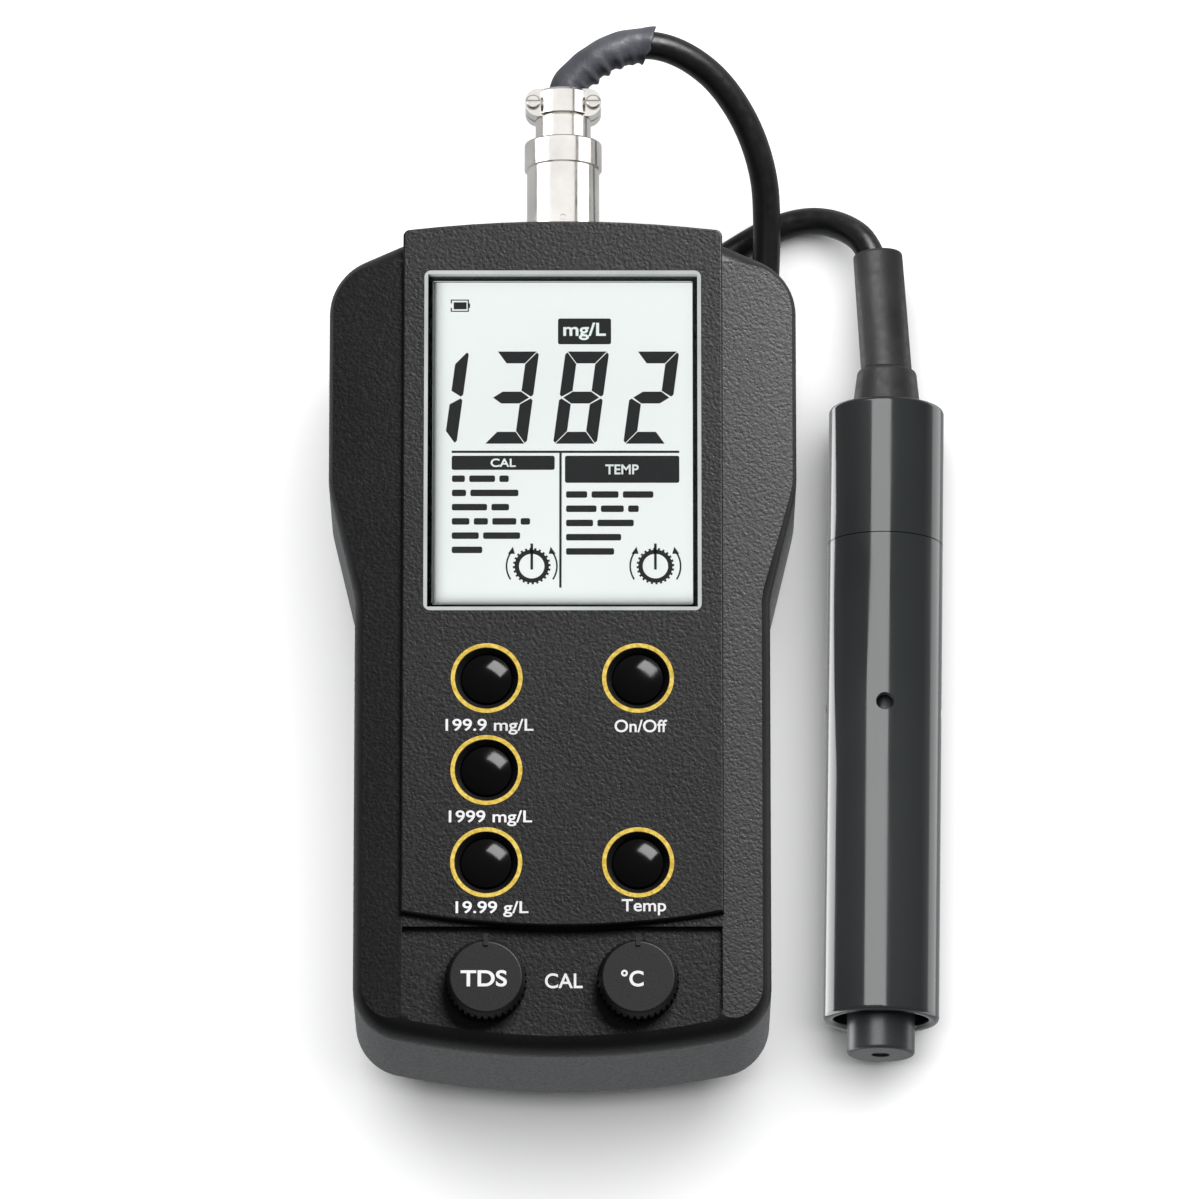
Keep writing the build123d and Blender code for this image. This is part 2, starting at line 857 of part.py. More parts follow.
def socket_shell():
    flange_foot = half_length + 0.05
    shell = along(socket_flange_radius, flange_foot, flange_foot + socket_flange, z=parting_height)
    shell = fillet(shell.edges().filter_by(GeomType.CIRCLE).sort_by(Axis.Y)[-1], 0.4)
    shell += along(socket_body_radius, socket_body_end, flange_foot + 0.1, z=parting_height)
    shell += along(socket_lip_radius, flange_foot, socket_lip_end, z=parting_height)
    shell -= along(socket_bore_radius, socket_body_end - 1, socket_lip_end + 1, z=parting_height)
    return shell


def socket_nut():
    start = half_length - end_crown - wall - drop_of(end_bulge_radius - wall, nut_radius) - nut_thread_gap
    hexagon = Plane.XZ * RegularPolygon(nut_radius, 6)
    nut = Pos(0, start, parting_height) * extrude(hexagon, amount=nut_thickness)
    return nut - along(socket_body_radius + nut_thread_gap, 0, body_length, z=parting_height)


def socket_insert():
    insert = along(insert_radius, insert_foot, insert_head, z=parting_height)
    for x, z in contact_places():
        insert -= along(contact_radius + contact_gap, insert_foot - 1, insert_head + 1, x, z)
    return insert


def socket_contacts():
    contacts = []
    for x, z in contact_places():
        contact = along(contact_radius, contact_tail, contact_head, x, z)
        contacts.append(contact - along(contact_bore, pin_tip - 1, contact_head + 1, x, z))
    return together(contacts)


def socket_leads():
    """Wires from the lower contacts round the board's notch to its underside."""
    wires = []
    for x, z in contact_places():
        if z < parting_height + 0.1:
            side = x * 1.8
            points = [
                (x, contact_tail, z),
                (x, contact_tail - 3.5, z),
                (side, contact_tail - 7.5, z + 1.0),
                (side, contact_tail - 7.5, board_under),
            ]
            wires.append(lead(points, lead_radius, 1.1))
    return together(wires)


# Plug on the cable, built on the socket's axis at height zero

def plug_shell():
    """Inner body of the push-pull plug: nose, shoulder and the neck behind it."""
    shell = along(plug_nose_radius, plug_nose_end, plug_shoulder)
    shell += along(plug_radius, plug_shoulder - 0.1, plug_end)
    shell = chamfer(shell.edges().filter_by(GeomType.CIRCLE).sort_by(Axis.Y)[0], 0.3)
    return shell - along(plug_bore_radius, plug_nose_end - 1, plug_end + 1)


def plug_insert():
    insert = along(plug_bore_radius - plug_insert_gap, plug_insert_head, plug_insert_foot)
    for x, z in contact_places():
        insert -= along(pin_radius, plug_insert_head - 1, plug_insert_foot + 1, x, z - parting_height)
    return insert


def plug_pins():
    pins = []
    for x, z in contact_places():
        pin = along(pin_radius - 0.02, pin_tip, pin_foot, x, z - parting_height)
        pins.append(fillet(pin.edges().filter_by(GeomType.CIRCLE).sort_by(Axis.Y)[0], 0.2))
    return together(pins)


def latch_sleeve():
    """Outer sleeve that is pulled back to free the plug, with its grip collar."""
    sleeve = along(latch_radius, latch_front, latch_end)
    sleeve += along(collar_radius, latch_collar, latch_end)
    rims = sleeve.edges().filter_by(GeomType.CIRCLE)
    sleeve = fillet([rims.sort_by(Axis.Y)[0], rims.sort_by(Axis.Y)[-1]], 0.35)
    sleeve -= along(socket_lip_radius + sleeve_lip_gap, latch_front - 1, plug_shoulder)
    sleeve -= along(plug_radius + sleeve_bore_gap, latch_front - 1, latch_end + 1)
    mark = upright(latch_mark_radius, latch_radius - latch_mark_depth, latch_radius + 1, 0, latch_mark_y)
    return sleeve - mark


def cable_clamp():
    """Two saddles drawn together on the cable by a screw at each side."""
    end = clamp_start + clamp_length
    saddle = along(clamp_radius, clamp_start, end)
    saddle = chamfer(saddle.edges().filter_by(GeomType.CIRCLE), clamp_edge)
    ears = block((-clamp_ear, clamp_ear), (clamp_start, end), (-clamp_ear_height / 2, clamp_ear_height / 2))
    saddle += fillet(ears.edges().filter_by(Axis.Z), clamp_ear_round)
    saddle -= along(shrink_radius + clamp_bore_gap, clamp_start - 1, end + 1)
    for x, y in clamp_screw_places:
        saddle -= upright(clamp_screw_radius + cord_gap, -clamp_ear, clamp_ear, x, y)
        saddle -= upright(clamp_head_radius + 0.1, clamp_screw_seat, clamp_ear, x, y)
    half_gap = clamp_split / 2
    saddle -= block((-2 * clamp_ear, 2 * clamp_ear), (clamp_start - 1, end + 1), (-half_gap, half_gap))
    return together(saddle.solids())


def clamp_screws():
    screw = upright(clamp_screw_radius, 0.3 - clamp_ear_height / 2, clamp_screw_seat + 0.1)
    head = upright(clamp_head_radius, clamp_screw_seat, clamp_screw_seat + clamp_head_height)
    screw += fillet(head.edges().filter_by(GeomType.CIRCLE).sort_by(Axis.Z)[-1], 0.35)
    screw -= Pos(0, 0, clamp_screw_seat + clamp_head_height) * Box(3 * clamp_head_radius, 0.45, 0.9)
    return together(at_all(clamp_screw_places, screw))


# Cable: two free runs with a round coil between them, heights above the table

plug_route = [
    (0.0, plug_route_start, plug_height),
    (0.0, 101.8, plug_height),
    (2.9, 105.5, plug_height),
    (7.1, 108.6, plug_height),
    (11.8, 110.4, 28.1),
    (16.7, 110.8, 27.2),
    (22.2, 109.1, 25.2),
    (27.6, 105.3, 22.5),
    (32.4, 98.6, 18.8),
    (35.2, 90.6, 15.0),
    (35.6, 82.6, 11.8),
    (35.4, 75.0, 8.4),
    (34.9, 67.5, 6.0),
    (33.6, 58.5, 5.7),
    (31.4, 48.0, 6.8),
    (29.8, 36.5, 7.7),
    (29.12, 26.0, 7.85),
]
probe_route = [
    (-16.7, 47.8, 2.95),
    (-5.0, 56.2, 2.7),
    (8.0, 65.0, 2.5),
    (20.0, 73.7, 2.45),
    (29.5, 80.4, 2.5),
    (37.0, 84.9, 2.6),
    (44.3, 86.1, 4.3),
    (50.1, 83.5, 7.2),
    (53.6, 79.5, 9.2),
    (55.1, 73.4, 10.0),
]


def bend_radii(points):
    """The largest tangent arc that the two runs at each corner leave room for."""
    runs = [Vector(*b) - Vector(*a) for a, b in zip(points, points[1:])]
    radii = []
    for before, after in zip(runs, runs[1:]):
        turn = radians(before.get_angle(after))
        radii.append(0.45 * min(before.length, after.length) / tan(turn / 2))
    return radii


def route_path(points):
    return FilletPolyline(*points, radius=bend_radii(points))


def tube(path, radius):
    return sweep(Plane(origin=path @ 0, z_dir=path % 0) * Circle(radius), path=path)


def shrink_sleeve():
    """Heat-shrink over the tight bend where the cable leaves the clamp."""
    full = route_path(plug_route)
    start = shrink_start - plug_route_start
    path = full.trim(start / full.length, (start + shrink_length) / full.length)
    return tube(path, shrink_radius) - tube(path, cord_radius + cord_gap)


def coil_section(grow=0.0):
    """Rounded section of the coil's ring, grown for the tie round it."""
    width, height = coil_width + 2 * grow, coil_height + 2 * grow
    section = RectangleRounded(width, height, cord_radius + grow)
    return Plane.XZ * Pos(coil_mean_radius, tie_thickness + coil_height / 2) * section


def cord_coil():
    return Pos(*coil_centre, 0) * revolve(coil_section(), Axis.Z)


def coil_tie():
    band = coil_section(tie_thickness) - coil_section(cord_gap)
    tie = revolve(band, Axis.Z, revolution_arc=tie_angle)
    return Pos(*coil_centre, 0) * Rot(0, 0, 180 - tie_angle / 2) * tie


# Probe, built along Y on its own axis at height zero

def probe_handle():
    """Grey handle with the spigot that the protective sleeve pushes onto."""
    handle = along(probe_radius, handle_seam, handle_top)
    handle = fillet(handle.edges().filter_by(GeomType.CIRCLE).sort_by(Axis.Y)[-1], handle_edge)
    spigot = along(spigot_radius, handle_seam - spigot_length, handle_seam + 0.1)
    spigot = chamfer(spigot.edges().filter_by(GeomType.CIRCLE).sort_by(Axis.Y)[0], 0.5)
    handle += spigot
    groove_y = handle_seam - o_ring_offset
    half = o_ring_radius + o_ring_groove_gap
    groove_floor = sleeve_bore_radius - 2 * o_ring_radius - 0.08
    groove = along(spigot_radius + 1, groove_y - half, groove_y + half)
    groove -= along(groove_floor, groove_y - half, groove_y + half)
    handle -= groove
    handle -= along(core_radius + core_seat_gap, handle_seam - spigot_length - 1, core_head())
    return handle - along(handle_bore_radius, 0, handle_top + 1)


def core_head():
    """Where the electrode core stops inside the spigot."""
    return handle_seam - spigot_length + core_seat


def handle_o_ring():
    ring = Torus(sleeve_bore_radius - o_ring_radius - 0.03, o_ring_radius)
    return Pos(0, handle_seam - o_ring_offset, 0) * Rot(90, 0, 0) * ring


def probe_sleeve():
    """Open protective tube with four vent holes."""
    top = handle_seam - sleeve_seam_gap
    sleeve = along(probe_radius, sleeve_end, top)
    sleeve -= along(sleeve_bore_radius, sleeve_end - 1, top + 1)
    rim = sleeve.edges().filter_by(GeomType.CIRCLE).group_by(Axis.Y)[0]
    sleeve = fillet(rim, sleeve_edge)
    for index in range(vent_count):
        drill = upright(vent_radius, 0, probe_radius + 1)
        sleeve -= Pos(0, vent_y, 0) * Rot(0, 360 * index / vent_count, 0) * drill
    return sleeve


def electrode_core():
    core = along(core_radius, core_tip + tip_length, core_head() - 0.1)
    for y in electrode_ys:
        groove = along(core_radius + 1, y, y + electrode_width)
        core -= groove - along(core_radius - electrode_depth, y, y + electrode_width)
    spigot = along(tip_spigot_radius, core_tip + tip_length - tip_spigot_length, core_tip + tip_length + 0.1)
    return core + spigot


def electrode_rings():
    rings = []
    for y in electrode_ys:
        ring = along(core_radius + 0.05, y + 0.02, y + electrode_width - 0.02)
        rings.append(ring - along(core_radius - electrode_depth, y - 1, y + electrode_width + 1))
    return together(rings)


def probe_tip():
    tip = along(core_radius, core_tip, core_tip + tip_length)
    tip = fillet(tip.edges().filter_by(GeomType.CIRCLE).sort_by(Axis.Y)[0], 0.6)
    socket_depth = core_tip + tip_length - tip_spigot_length - 0.05
    tip -= along(tip_spigot_radius + 0.02, socket_depth, core_tip + tip_length + 1)
    dimple = along(1.6, core_tip - 1, core_tip + 0.4)
    return tip - dimple


def boot_collar():
    """Moulded root of the strain relief on top of the handle."""
    low, high = handle_top + 0.02, handle_top + boot_collar_length
    profile = Polyline(
        (cord_radius + 0.3, low),
        (boot_collar_radius, low),
        (boot_collar_top_radius, high),
        (cord_radius + 0.3, high),
        (cord_radius + 0.3, low),
    )
    collar = revolve(make_face(profile), Axis.Y)
    outer = collar.edges().filter_by(GeomType.CIRCLE).group_by(Axis.Y)[-1].sort_by(SortBy.RADIUS)[-1]
    return fillet(outer, 1.0)


def probe_place():
    turn = Pos(probe_x, probe_turn_y, probe_height) * Rot(0, 0, probe_yaw)
    return turn * Pos(0, -probe_turn_y, 0)


def cord_boot():
    """Rubber sleeve that leans with the cable, from the collar to the cable's mouth."""
    root = handle_top + boot_collar_length
    start = (probe_place() * Pos(0, root - boot_edge, 0)).position
    lean = Vector(boot_top[0], boot_top[1], probe_height) - start
    length = lean.length
    cone = Cone(boot_radius, boot_top_radius, length, align=(Align.CENTER, Align.CENTER, Align.MIN))
    cone = fillet(cone.edges().filter_by(GeomType.CIRCLE).sort_by(Axis.Z)[-1], boot_edge)
    cone -= upright(cord_radius + cord_gap, length - boot_mouth_depth, length + 1)
    below = along(2 * boot_radius, 0, root + 0.02)
    return Plane(origin=start, z_dir=lean) * cone - probe_place() * below


# Assembly

meter_place = Pos(0, 0, meter_lift)
plug_place = Pos(0, 0, plug_height)
probe_at = probe_place()

nodes = {
    "front_shell": meter_place * front_shell(),
    "rear_shell": meter_place * rear_shell(),
    "battery_cover": meter_place * battery_cover(),
    "display_lens": meter_place * display_lens(),
    "lens_gasket": meter_place * lens_gasket(),
    "lcd_glass": meter_place * lcd_glass(),
    "lcd_frame": meter_place * lcd_frame(),
    "zebra_strips": meter_place * zebra_strips(),
    "main_board": meter_place * main_board(),
    "board_chips": meter_place * board_chips(),
    "tactile_switches": meter_place * tactile_switches(),
    "potentiometer_bodies": meter_place * potentiometer_bodies(),
    "board_screws": meter_place * board_screw_set(),
    "button_rings": meter_place * button_rings(),
    "battery": meter_place * battery(),
    "battery_snap": meter_place * battery_snap(),
    "battery_leads": meter_place * battery_leads(),
    "housing_screws": meter_place * housing_screw_set(),
    "socket_shell": meter_place * socket_shell(),
    "socket_nut": meter_place * socket_nut(),
    "socket_insert": meter_place * socket_insert(),
    "socket_contacts": meter_place * socket_contacts(),
    "socket_leads": meter_place * socket_leads(),
}
for name, (x, y) in button_places.items():
    nodes["button_" + name] = meter_place * Pos(x, y, 0) * button_cap()
    nodes["plunger_" + name] = meter_place * Pos(x, y, 0) * switch_plunger()
for name, (x, y) in knob_places.items():
    nodes["knob_" + name] = meter_place * Pos(x, y, 0) * knob()
    nodes["shaft_" + name] = meter_place * Pos(x, y, 0) * knob_shaft()

probe_nodes = {
    "probe_handle": probe_at * probe_handle(),
    "handle_o_ring": probe_at * handle_o_ring(),
    "probe_sleeve": probe_at * probe_sleeve(),
    "electrode_core": probe_at * electrode_core(),
    "electrode_rings": probe_at * electrode_rings(),
    "probe_tip": probe_at * probe_tip(),
}
nodes.update(probe_nodes)

plug_path = route_path(plug_route)
probe_path = route_path(probe_route)
cord_nodes = {
    "plug_shell": plug_place * plug_shell(),
    "plug_insert": plug_place * plug_insert(),
    "plug_pins": plug_place * plug_pins(),
    "latch_sleeve": plug_place * latch_sleeve(),
    "cable_clamp": plug_place * cable_clamp(),
    "clamp_screws": plug_place * clamp_screws(),
    "shrink_sleeve": shrink_sleeve(),
    "cord_plug_run": tube(plug_path, cord_radius),
    "cord_coil": cord_coil(),
    "coil_tie": coil_tie(),
    "cord_probe_run": tube(probe_path, cord_radius),
    "cord_boot": cord_boot(),
    "boot_collar": probe_at * boot_collar(),
}

# The origin is the middle of the resting footprint of everything but the cable and its plug
footprint = Compound(children=[Compound(shape.solids()) for shape in nodes.values()]).bounding_box()
origin = Pos(-footprint.center().X, -footprint.center().Y, 0)

os.makedirs("parts", exist_ok=True)
for name, shape in {**nodes, **cord_nodes}.items():
    export_step(origin * shape, f"parts/{name}.step")

section = 3.14159265 * cord_radius**2
for name, path in (("plug run", plug_path), ("probe run", probe_path)):
    route = plug_route if name == "plug run" else probe_route
    print(name, "length", round(path.length, 1), "radii", [round(r, 1) for r in bend_radii(route)])
    print(name, "section times length", round(section * path.length, 1))
print("origin at", footprint.center(), "meter lift", meter_lift)
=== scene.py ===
"""Looks for the dissolved solids meter: materials, display, lettering, cable, light and camera."""
import json
from math import cos, pi, radians, sin, tau

import bmesh
import bpy
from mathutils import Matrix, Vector, noise

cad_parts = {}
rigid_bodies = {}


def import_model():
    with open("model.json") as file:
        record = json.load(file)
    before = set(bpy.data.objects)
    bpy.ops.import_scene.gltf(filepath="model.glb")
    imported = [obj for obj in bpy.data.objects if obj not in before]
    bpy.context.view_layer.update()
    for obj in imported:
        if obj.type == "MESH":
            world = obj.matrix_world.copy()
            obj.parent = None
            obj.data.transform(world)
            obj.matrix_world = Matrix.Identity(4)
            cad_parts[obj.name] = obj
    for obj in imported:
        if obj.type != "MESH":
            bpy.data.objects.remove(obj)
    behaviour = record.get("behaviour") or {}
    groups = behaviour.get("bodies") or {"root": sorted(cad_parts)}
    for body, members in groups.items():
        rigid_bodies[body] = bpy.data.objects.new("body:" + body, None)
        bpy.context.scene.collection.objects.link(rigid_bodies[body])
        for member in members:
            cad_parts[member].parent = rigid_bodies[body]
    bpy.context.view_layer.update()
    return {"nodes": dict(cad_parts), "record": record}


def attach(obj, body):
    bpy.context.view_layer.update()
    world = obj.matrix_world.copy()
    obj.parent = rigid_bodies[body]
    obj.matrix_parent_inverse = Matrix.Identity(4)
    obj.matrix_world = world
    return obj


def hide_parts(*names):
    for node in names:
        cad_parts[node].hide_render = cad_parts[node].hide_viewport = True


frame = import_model()
nodes = frame["nodes"]

# The middle of the meter in the row frame, and the heights it is built on, in millimetres
MIDDLE_X = -13.1284
MIDDLE_Y = -4.0
MM = 0.001
BACK = 10.5
PLATE = BACK + 36.0
RECESS = BACK + 34.0
GLASS = BACK + 33.0
LENS_FOOT = BACK + 34.3
KNOB_TOP = RECESS + 0.3 + 3.6
WINDOW_Y = 34.0
CLEAR_HALF_WIDTH = 22.2
CLEAR_HALF_LENGTH = 28.6
CORD_RADIUS = 2.45


def at(x, y, z):
    """A point given from the meter's middle, in millimetres, as one in the row frame, in metres."""
    return Vector(((x + MIDDLE_X) * MM, (y + MIDDLE_Y) * MM, z * MM))


# Material nodes

class Shader:
    """One Principled material and the few nodes that the materials here share."""

    def __init__(self, name, color, roughness, **sockets):
        self.material = bpy.data.materials.new(name)
        self.material.use_nodes = True
        self.tree = self.material.node_tree
        self.surface = self.tree.nodes["Principled BSDF"]
        self.surface.inputs["Base Color"].default_value = (*color, 1)
        self.surface.inputs["Roughness"].default_value = roughness
        for socket, value in sockets.items():
            self.surface.inputs[socket.replace("_", " ")].default_value = value
        place = self.add("ShaderNodeTexCoord")
        self.place = place.outputs["Object"]
        self.normal = None

    def add(self, kind, **values):
        node = self.tree.nodes.new(kind)
        for name, value in values.items():
            node.inputs[name.replace("_", " ")].default_value = value
        return node

    def join(self, source, target):
        self.tree.links.new(source, target)

    def noise(self, scale, detail=3.0, distortion=0.0):
        node = self.add("ShaderNodeTexNoise", Scale=scale, Detail=detail, Distortion=distortion)
        self.join(self.place, node.inputs["Vector"])
        return node.outputs["Fac"]

    def cells(self, scale, feature="F1"):
        node = self.add("ShaderNodeTexVoronoi", Scale=scale)
        node.feature = feature
        self.join(self.place, node.inputs["Vector"])
        return node.outputs["Distance"]

    def math(self, operation, first, second):
        node = self.tree.nodes.new("ShaderNodeMath")
        node.operation = operation
        for socket, value in zip(node.inputs, (first, second)):
            if isinstance(value, (int, float)):
                socket.default_value = value
            else:
                self.join(value, socket)
        return node.outputs[0]

    def ramp(self, source, low, high, start=0.0, end=1.0):
        """Maps a value from start..end to low..high."""
        node = self.add("ShaderNodeMapRange", From_Min=start, From_Max=end, To_Min=low, To_Max=high)
        self.join(source, node.inputs["Value"])
        return node.outputs["Result"]

    def tint(self, source, dark, light, start=0.35, end=0.65):
        node = self.tree.nodes.new("ShaderNodeValToRGB")
        node.color_ramp.elements[0].position = start
        node.color_ramp.elements[1].position = end
        node.color_ramp.elements[0].color = (*dark, 1)
        node.color_ramp.elements[1].color = (*light, 1)
        self.join(source, node.inputs["Fac"])
        self.join(node.outputs["Color"], self.surface.inputs["Base Color"])
        return self

    def bump(self, height, depth, strength=1.0):
        """Adds relief of this depth in metres over whatever relief is there."""
        node = self.add("ShaderNodeBump", Distance=depth, Strength=strength)
        self.join(height, node.inputs["Height"])
        if self.normal is not None:
            self.join(self.normal, node.inputs["Normal"])
        self.normal = node.outputs["Normal"]
        self.join(self.normal, self.surface.inputs["Normal"])
        return self

    def rounded(self, radius):
        """Softens the look of sharp moulded edges."""
        node = self.add("ShaderNodeBevel", Radius=radius)
        node.samples = 4
        self.normal = node.outputs["Normal"]
        self.join(self.normal, self.surface.inputs["Normal"])
        return self

    def rough(self, source, low, high, start=0.3, end=0.7):
        self.join(self.ramp(source, low, high, start, end), self.surface.inputs["Roughness"])
        return self

    def facing_up(self):
        """1 on faces that look up or down, 0 on the sides."""
        geometry = self.tree.nodes.new("ShaderNodeNewGeometry")
        split = self.tree.nodes.new("ShaderNodeSeparateXYZ")
        self.join(geometry.outputs["Normal"], split.inputs["Vector"])
        upright = self.math("ABSOLUTE", split.outputs["Z"], 0)
        return self.ramp(upright, 0, 1, 0.93, 0.985)


def leather():
    """Moulded housing: leather grain on the flats, smoother round the edges."""
    shader = Shader("housing_leather", (0.0065, 0.0058, 0.0062), 0.46, Specular_IOR_Level=0.5)
    pebbles = shader.cells(1750, "SMOOTH_F1")
    wrinkles = shader.noise(2100, 4, 0.6)
    grain = shader.math("ADD", shader.math("MULTIPLY", pebbles, 0.8), wrinkles)
    masked = shader.math("MULTIPLY", grain, shader.ramp(shader.facing_up(), 0.16, 1.0))
    shader.tint(shader.noise(60), (0.0052, 0.0046, 0.0050), (0.0078, 0.0070, 0.0074))
    shader.rough(grain, 0.34, 0.46, 0.5, 1.1)
    return shader.bump(masked, 0.00006, 0.9).material


def fine_moulding(name, color, roughness=0.5, depth=0.00002, scale=2600):
    """Plain moulded plastic with a faint spark-eroded texture."""
    shader = Shader(name, color, roughness)
    light = tuple(min(c * 1.18 + 0.001, 1) for c in color)
    shader.tint(shader.noise(90), color, light)
    texture = shader.noise(scale, 2)
    shader.rough(texture, roughness - 0.05, roughness + 0.07)
    return shader.bump(texture, depth).material


def polished(name, color, roughness=0.1):
    """Glossy moulded plastic with faint handling marks."""
    shader = Shader(name, color, roughness, Specular_IOR_Level=0.24)
    light = tuple(min(c * 1.15 + 0.001, 1) for c in color)
    shader.tint(shader.noise(45), color, light)
    shader.rough(shader.noise(150, 5), roughness * 0.7, roughness * 1.5)
    return shader.bump(shader.noise(110, 2), 0.00004, 0.5).material


def pipe_plastic():
    """Extruded grey pipe of the probe: glossy, with long faint waves and fine scratches."""
    shader = Shader("probe_pipe", (0.032, 0.035, 0.036), 0.13, Specular_IOR_Level=0.62)
    shader.tint(shader.noise(28, 2), (0.030, 0.033, 0.034), (0.038, 0.041, 0.042))
    stretch = shader.tree.nodes.new("ShaderNodeMapping")
    stretch.inputs["Scale"].default_value = (1, 0.08, 1)
    shader.join(shader.place, stretch.inputs["Vector"])
    shader.place = stretch.outputs["Vector"]
    shader.rough(shader.noise(500, 4), 0.09, 0.19)
    return shader.bump(shader.noise(70, 1), 0.00009, 0.5).material


def rubber(name, color, roughness=0.5, relief=0.00003):
    shader = Shader(name, color, roughness, Specular_IOR_Level=0.42)
    light = tuple(c * 1.35 + 0.002 for c in color)
    shader.tint(shader.noise(140, 4), color, light)
    shader.rough(shader.noise(700, 3), roughness - 0.08, roughness + 0.1)
    return shader.bump(shader.noise(900, 3), relief).material


def metal(name, color, roughness, brushed=True):
    """Plated or turned metal with fine lines round its axis and cloudy wear."""
    shader = Shader(name, color, roughness, Metallic=1.0)
    shader.rounded(0.0001)
    dark = tuple(c * 0.84 for c in color)
    shader.tint(shader.noise(120, 4), dark, color)
    shader.rough(shader.noise(400, 4), roughness * 0.75, roughness * 1.4)
    if brushed:
        stretch = shader.tree.nodes.new("ShaderNodeMapping")
        stretch.inputs["Scale"].default_value = (0.2, 6, 0.2)
        shader.join(shader.place, stretch.inputs["Vector"])
        shader.place = stretch.outputs["Vector"]
        shader.bump(shader.noise(900, 2), 0.000006)
    return shader.material


def painted_ring():
    shader = Shader("ring_paint", (0.62, 0.43, 0.06), 0.42)
    shader.tint(shader.noise(1400, 3), (0.50, 0.33, 0.035), (0.72, 0.54, 0.12))
    return shader.bump(shader.noise(2200, 2), 0.00003).material


def crystal():
    """Pale liquid crystal panel with faint cloudiness."""
    shader = Shader("liquid_crystal", (0.84, 0.86, 0.855), 0.34)
    shader.tint(shader.noise(22, 1), (0.81, 0.83, 0.825), (0.85, 0.868, 0.862))
    return shader.bump(shader.noise(3000, 1), 0.000004).material


def window():
    """Clear lens whose under side carries a pale printed border."""
    shader = Shader("lens", (0.55, 0.60, 0.57), 0.25)
    tree = shader.tree
    clear = tree.nodes.new("ShaderNodeBsdfTransparent")
    clear.inputs["Color"].default_value = (0.975, 0.982, 0.979, 1)
    gloss = tree.nodes.new("ShaderNodeBsdfGlossy")
    gloss.inputs["Roughness"].default_value = 0.04
    facing = tree.nodes.new("ShaderNodeLayerWeight")
    facing.inputs["Blend"].default_value = 0.5
    shine = shader.ramp(shader.math("POWER", facing.outputs["Facing"], 4.0), 0.03, 0.5)
    pane = tree.nodes.new("ShaderNodeMixShader")
    shader.join(shine, pane.inputs[0])
    shader.join(clear.outputs["BSDF"], pane.inputs[1])
    shader.join(gloss.outputs["BSDF"], pane.inputs[2])
    split = tree.nodes.new("ShaderNodeSeparateXYZ")
    shader.join(shader.place, split.inputs["Vector"])
    middle = at(0, WINDOW_Y, 0)
    from_x = shader.math("ABSOLUTE", shader.math("SUBTRACT", split.outputs["X"], middle.x), 0)
    from_y = shader.math("ABSOLUTE", shader.math("SUBTRACT", split.outputs["Y"], middle.y), 0)
    beyond_x = shader.math("GREATER_THAN", from_x, CLEAR_HALF_WIDTH * MM)
    beyond_y = shader.math("GREATER_THAN", from_y, CLEAR_HALF_LENGTH * MM)
    low = shader.math("LESS_THAN", split.outputs["Z"], (LENS_FOOT + 0.05) * MM)
    border = shader.math("MULTIPLY", shader.math("MAXIMUM", beyond_x, beyond_y), low)
    both = tree.nodes.new("ShaderNodeMixShader")
    shader.join(border, both.inputs[0])
    shader.join(pane.outputs["Shader"], both.inputs[1])
    shader.join(shader.surface.outputs["BSDF"], both.inputs[2])
    shader.join(both.outputs["Shader"], tree.nodes["Material Output"].inputs["Surface"])
    return shader.material


def board_green():
    """Solder mask with faint tracks."""
    shader = Shader("board_green", (0.02, 0.12, 0.05), 0.35)
    shader.tint(shader.cells(330), (0.012, 0.09, 0.035), (0.03, 0.17, 0.07), 0.2, 0.5)
    return shader.bump(shader.cells(330), 0.00003).material


# Materials, one for each slot of the record

looks = {
    "housing": leather(),
    "window": window(),
    "seal": rubber("seal_rubber", (0.012, 0.012, 0.012)),
    "display": crystal(),
    "frame": fine_moulding("white_moulding", (0.62, 0.62, 0.6)),
    "contact_rubber": rubber("contact_rubber", (0.25, 0.13, 0.13)),
    "board": board_green(),
    "chips": fine_moulding("chip_epoxy", (0.01, 0.01, 0.011)),
    "switches": fine_moulding("switch_moulding", (0.012, 0.012, 0.013)),
    "pots": fine_moulding("trimmer_blue", (0.015, 0.05, 0.16)),
    "steel": metal("zinc_steel", (0.60, 0.60, 0.58), 0.3, False),
    "ring": painted_ring(),
    "button": polished("button_gloss", (0.003, 0.003, 0.0034), 0.13),
    "knob": fine_moulding("knob_satin", (0.0045, 0.0045, 0.005), 0.5, 0.000012),
    "shaft": metal("turned_aluminium", (0.72, 0.72, 0.73), 0.3),
    "battery": metal("battery_case", (0.16, 0.17, 0.19), 0.4, False),
    "snap": fine_moulding("snap_moulding", (0.012, 0.012, 0.012)),
    "wire": polished("wire_red", (0.35, 0.02, 0.015), 0.3),
    "plated": metal("nickel_plate", (0.86, 0.83, 0.79), 0.17),
    "insert": fine_moulding("insulator", (0.015, 0.015, 0.016)),
    "contact": metal("gold_flash", (0.85, 0.62, 0.28), 0.25),
    "cord": rubber("cable_sheath", (0.0075, 0.0075, 0.008), 0.36, 0.00002),
    "shrink": rubber("shrink_tube", (0.060, 0.062, 0.072), 0.42, 0.00009),
    "boot": rubber("boot_rubber", (0.030, 0.028, 0.029), 0.46, 0.00005),
    "tie": fine_moulding("tie_strap", (0.01, 0.01, 0.01)),
    "probe": pipe_plastic(),
    "core": fine_moulding("core_epoxy", (0.035, 0.038, 0.042), 0.32, 0.00001),
    "electrode": metal("stainless", (0.58, 0.57, 0.55), 0.28),
}
looks["cover"] = looks["housing"]
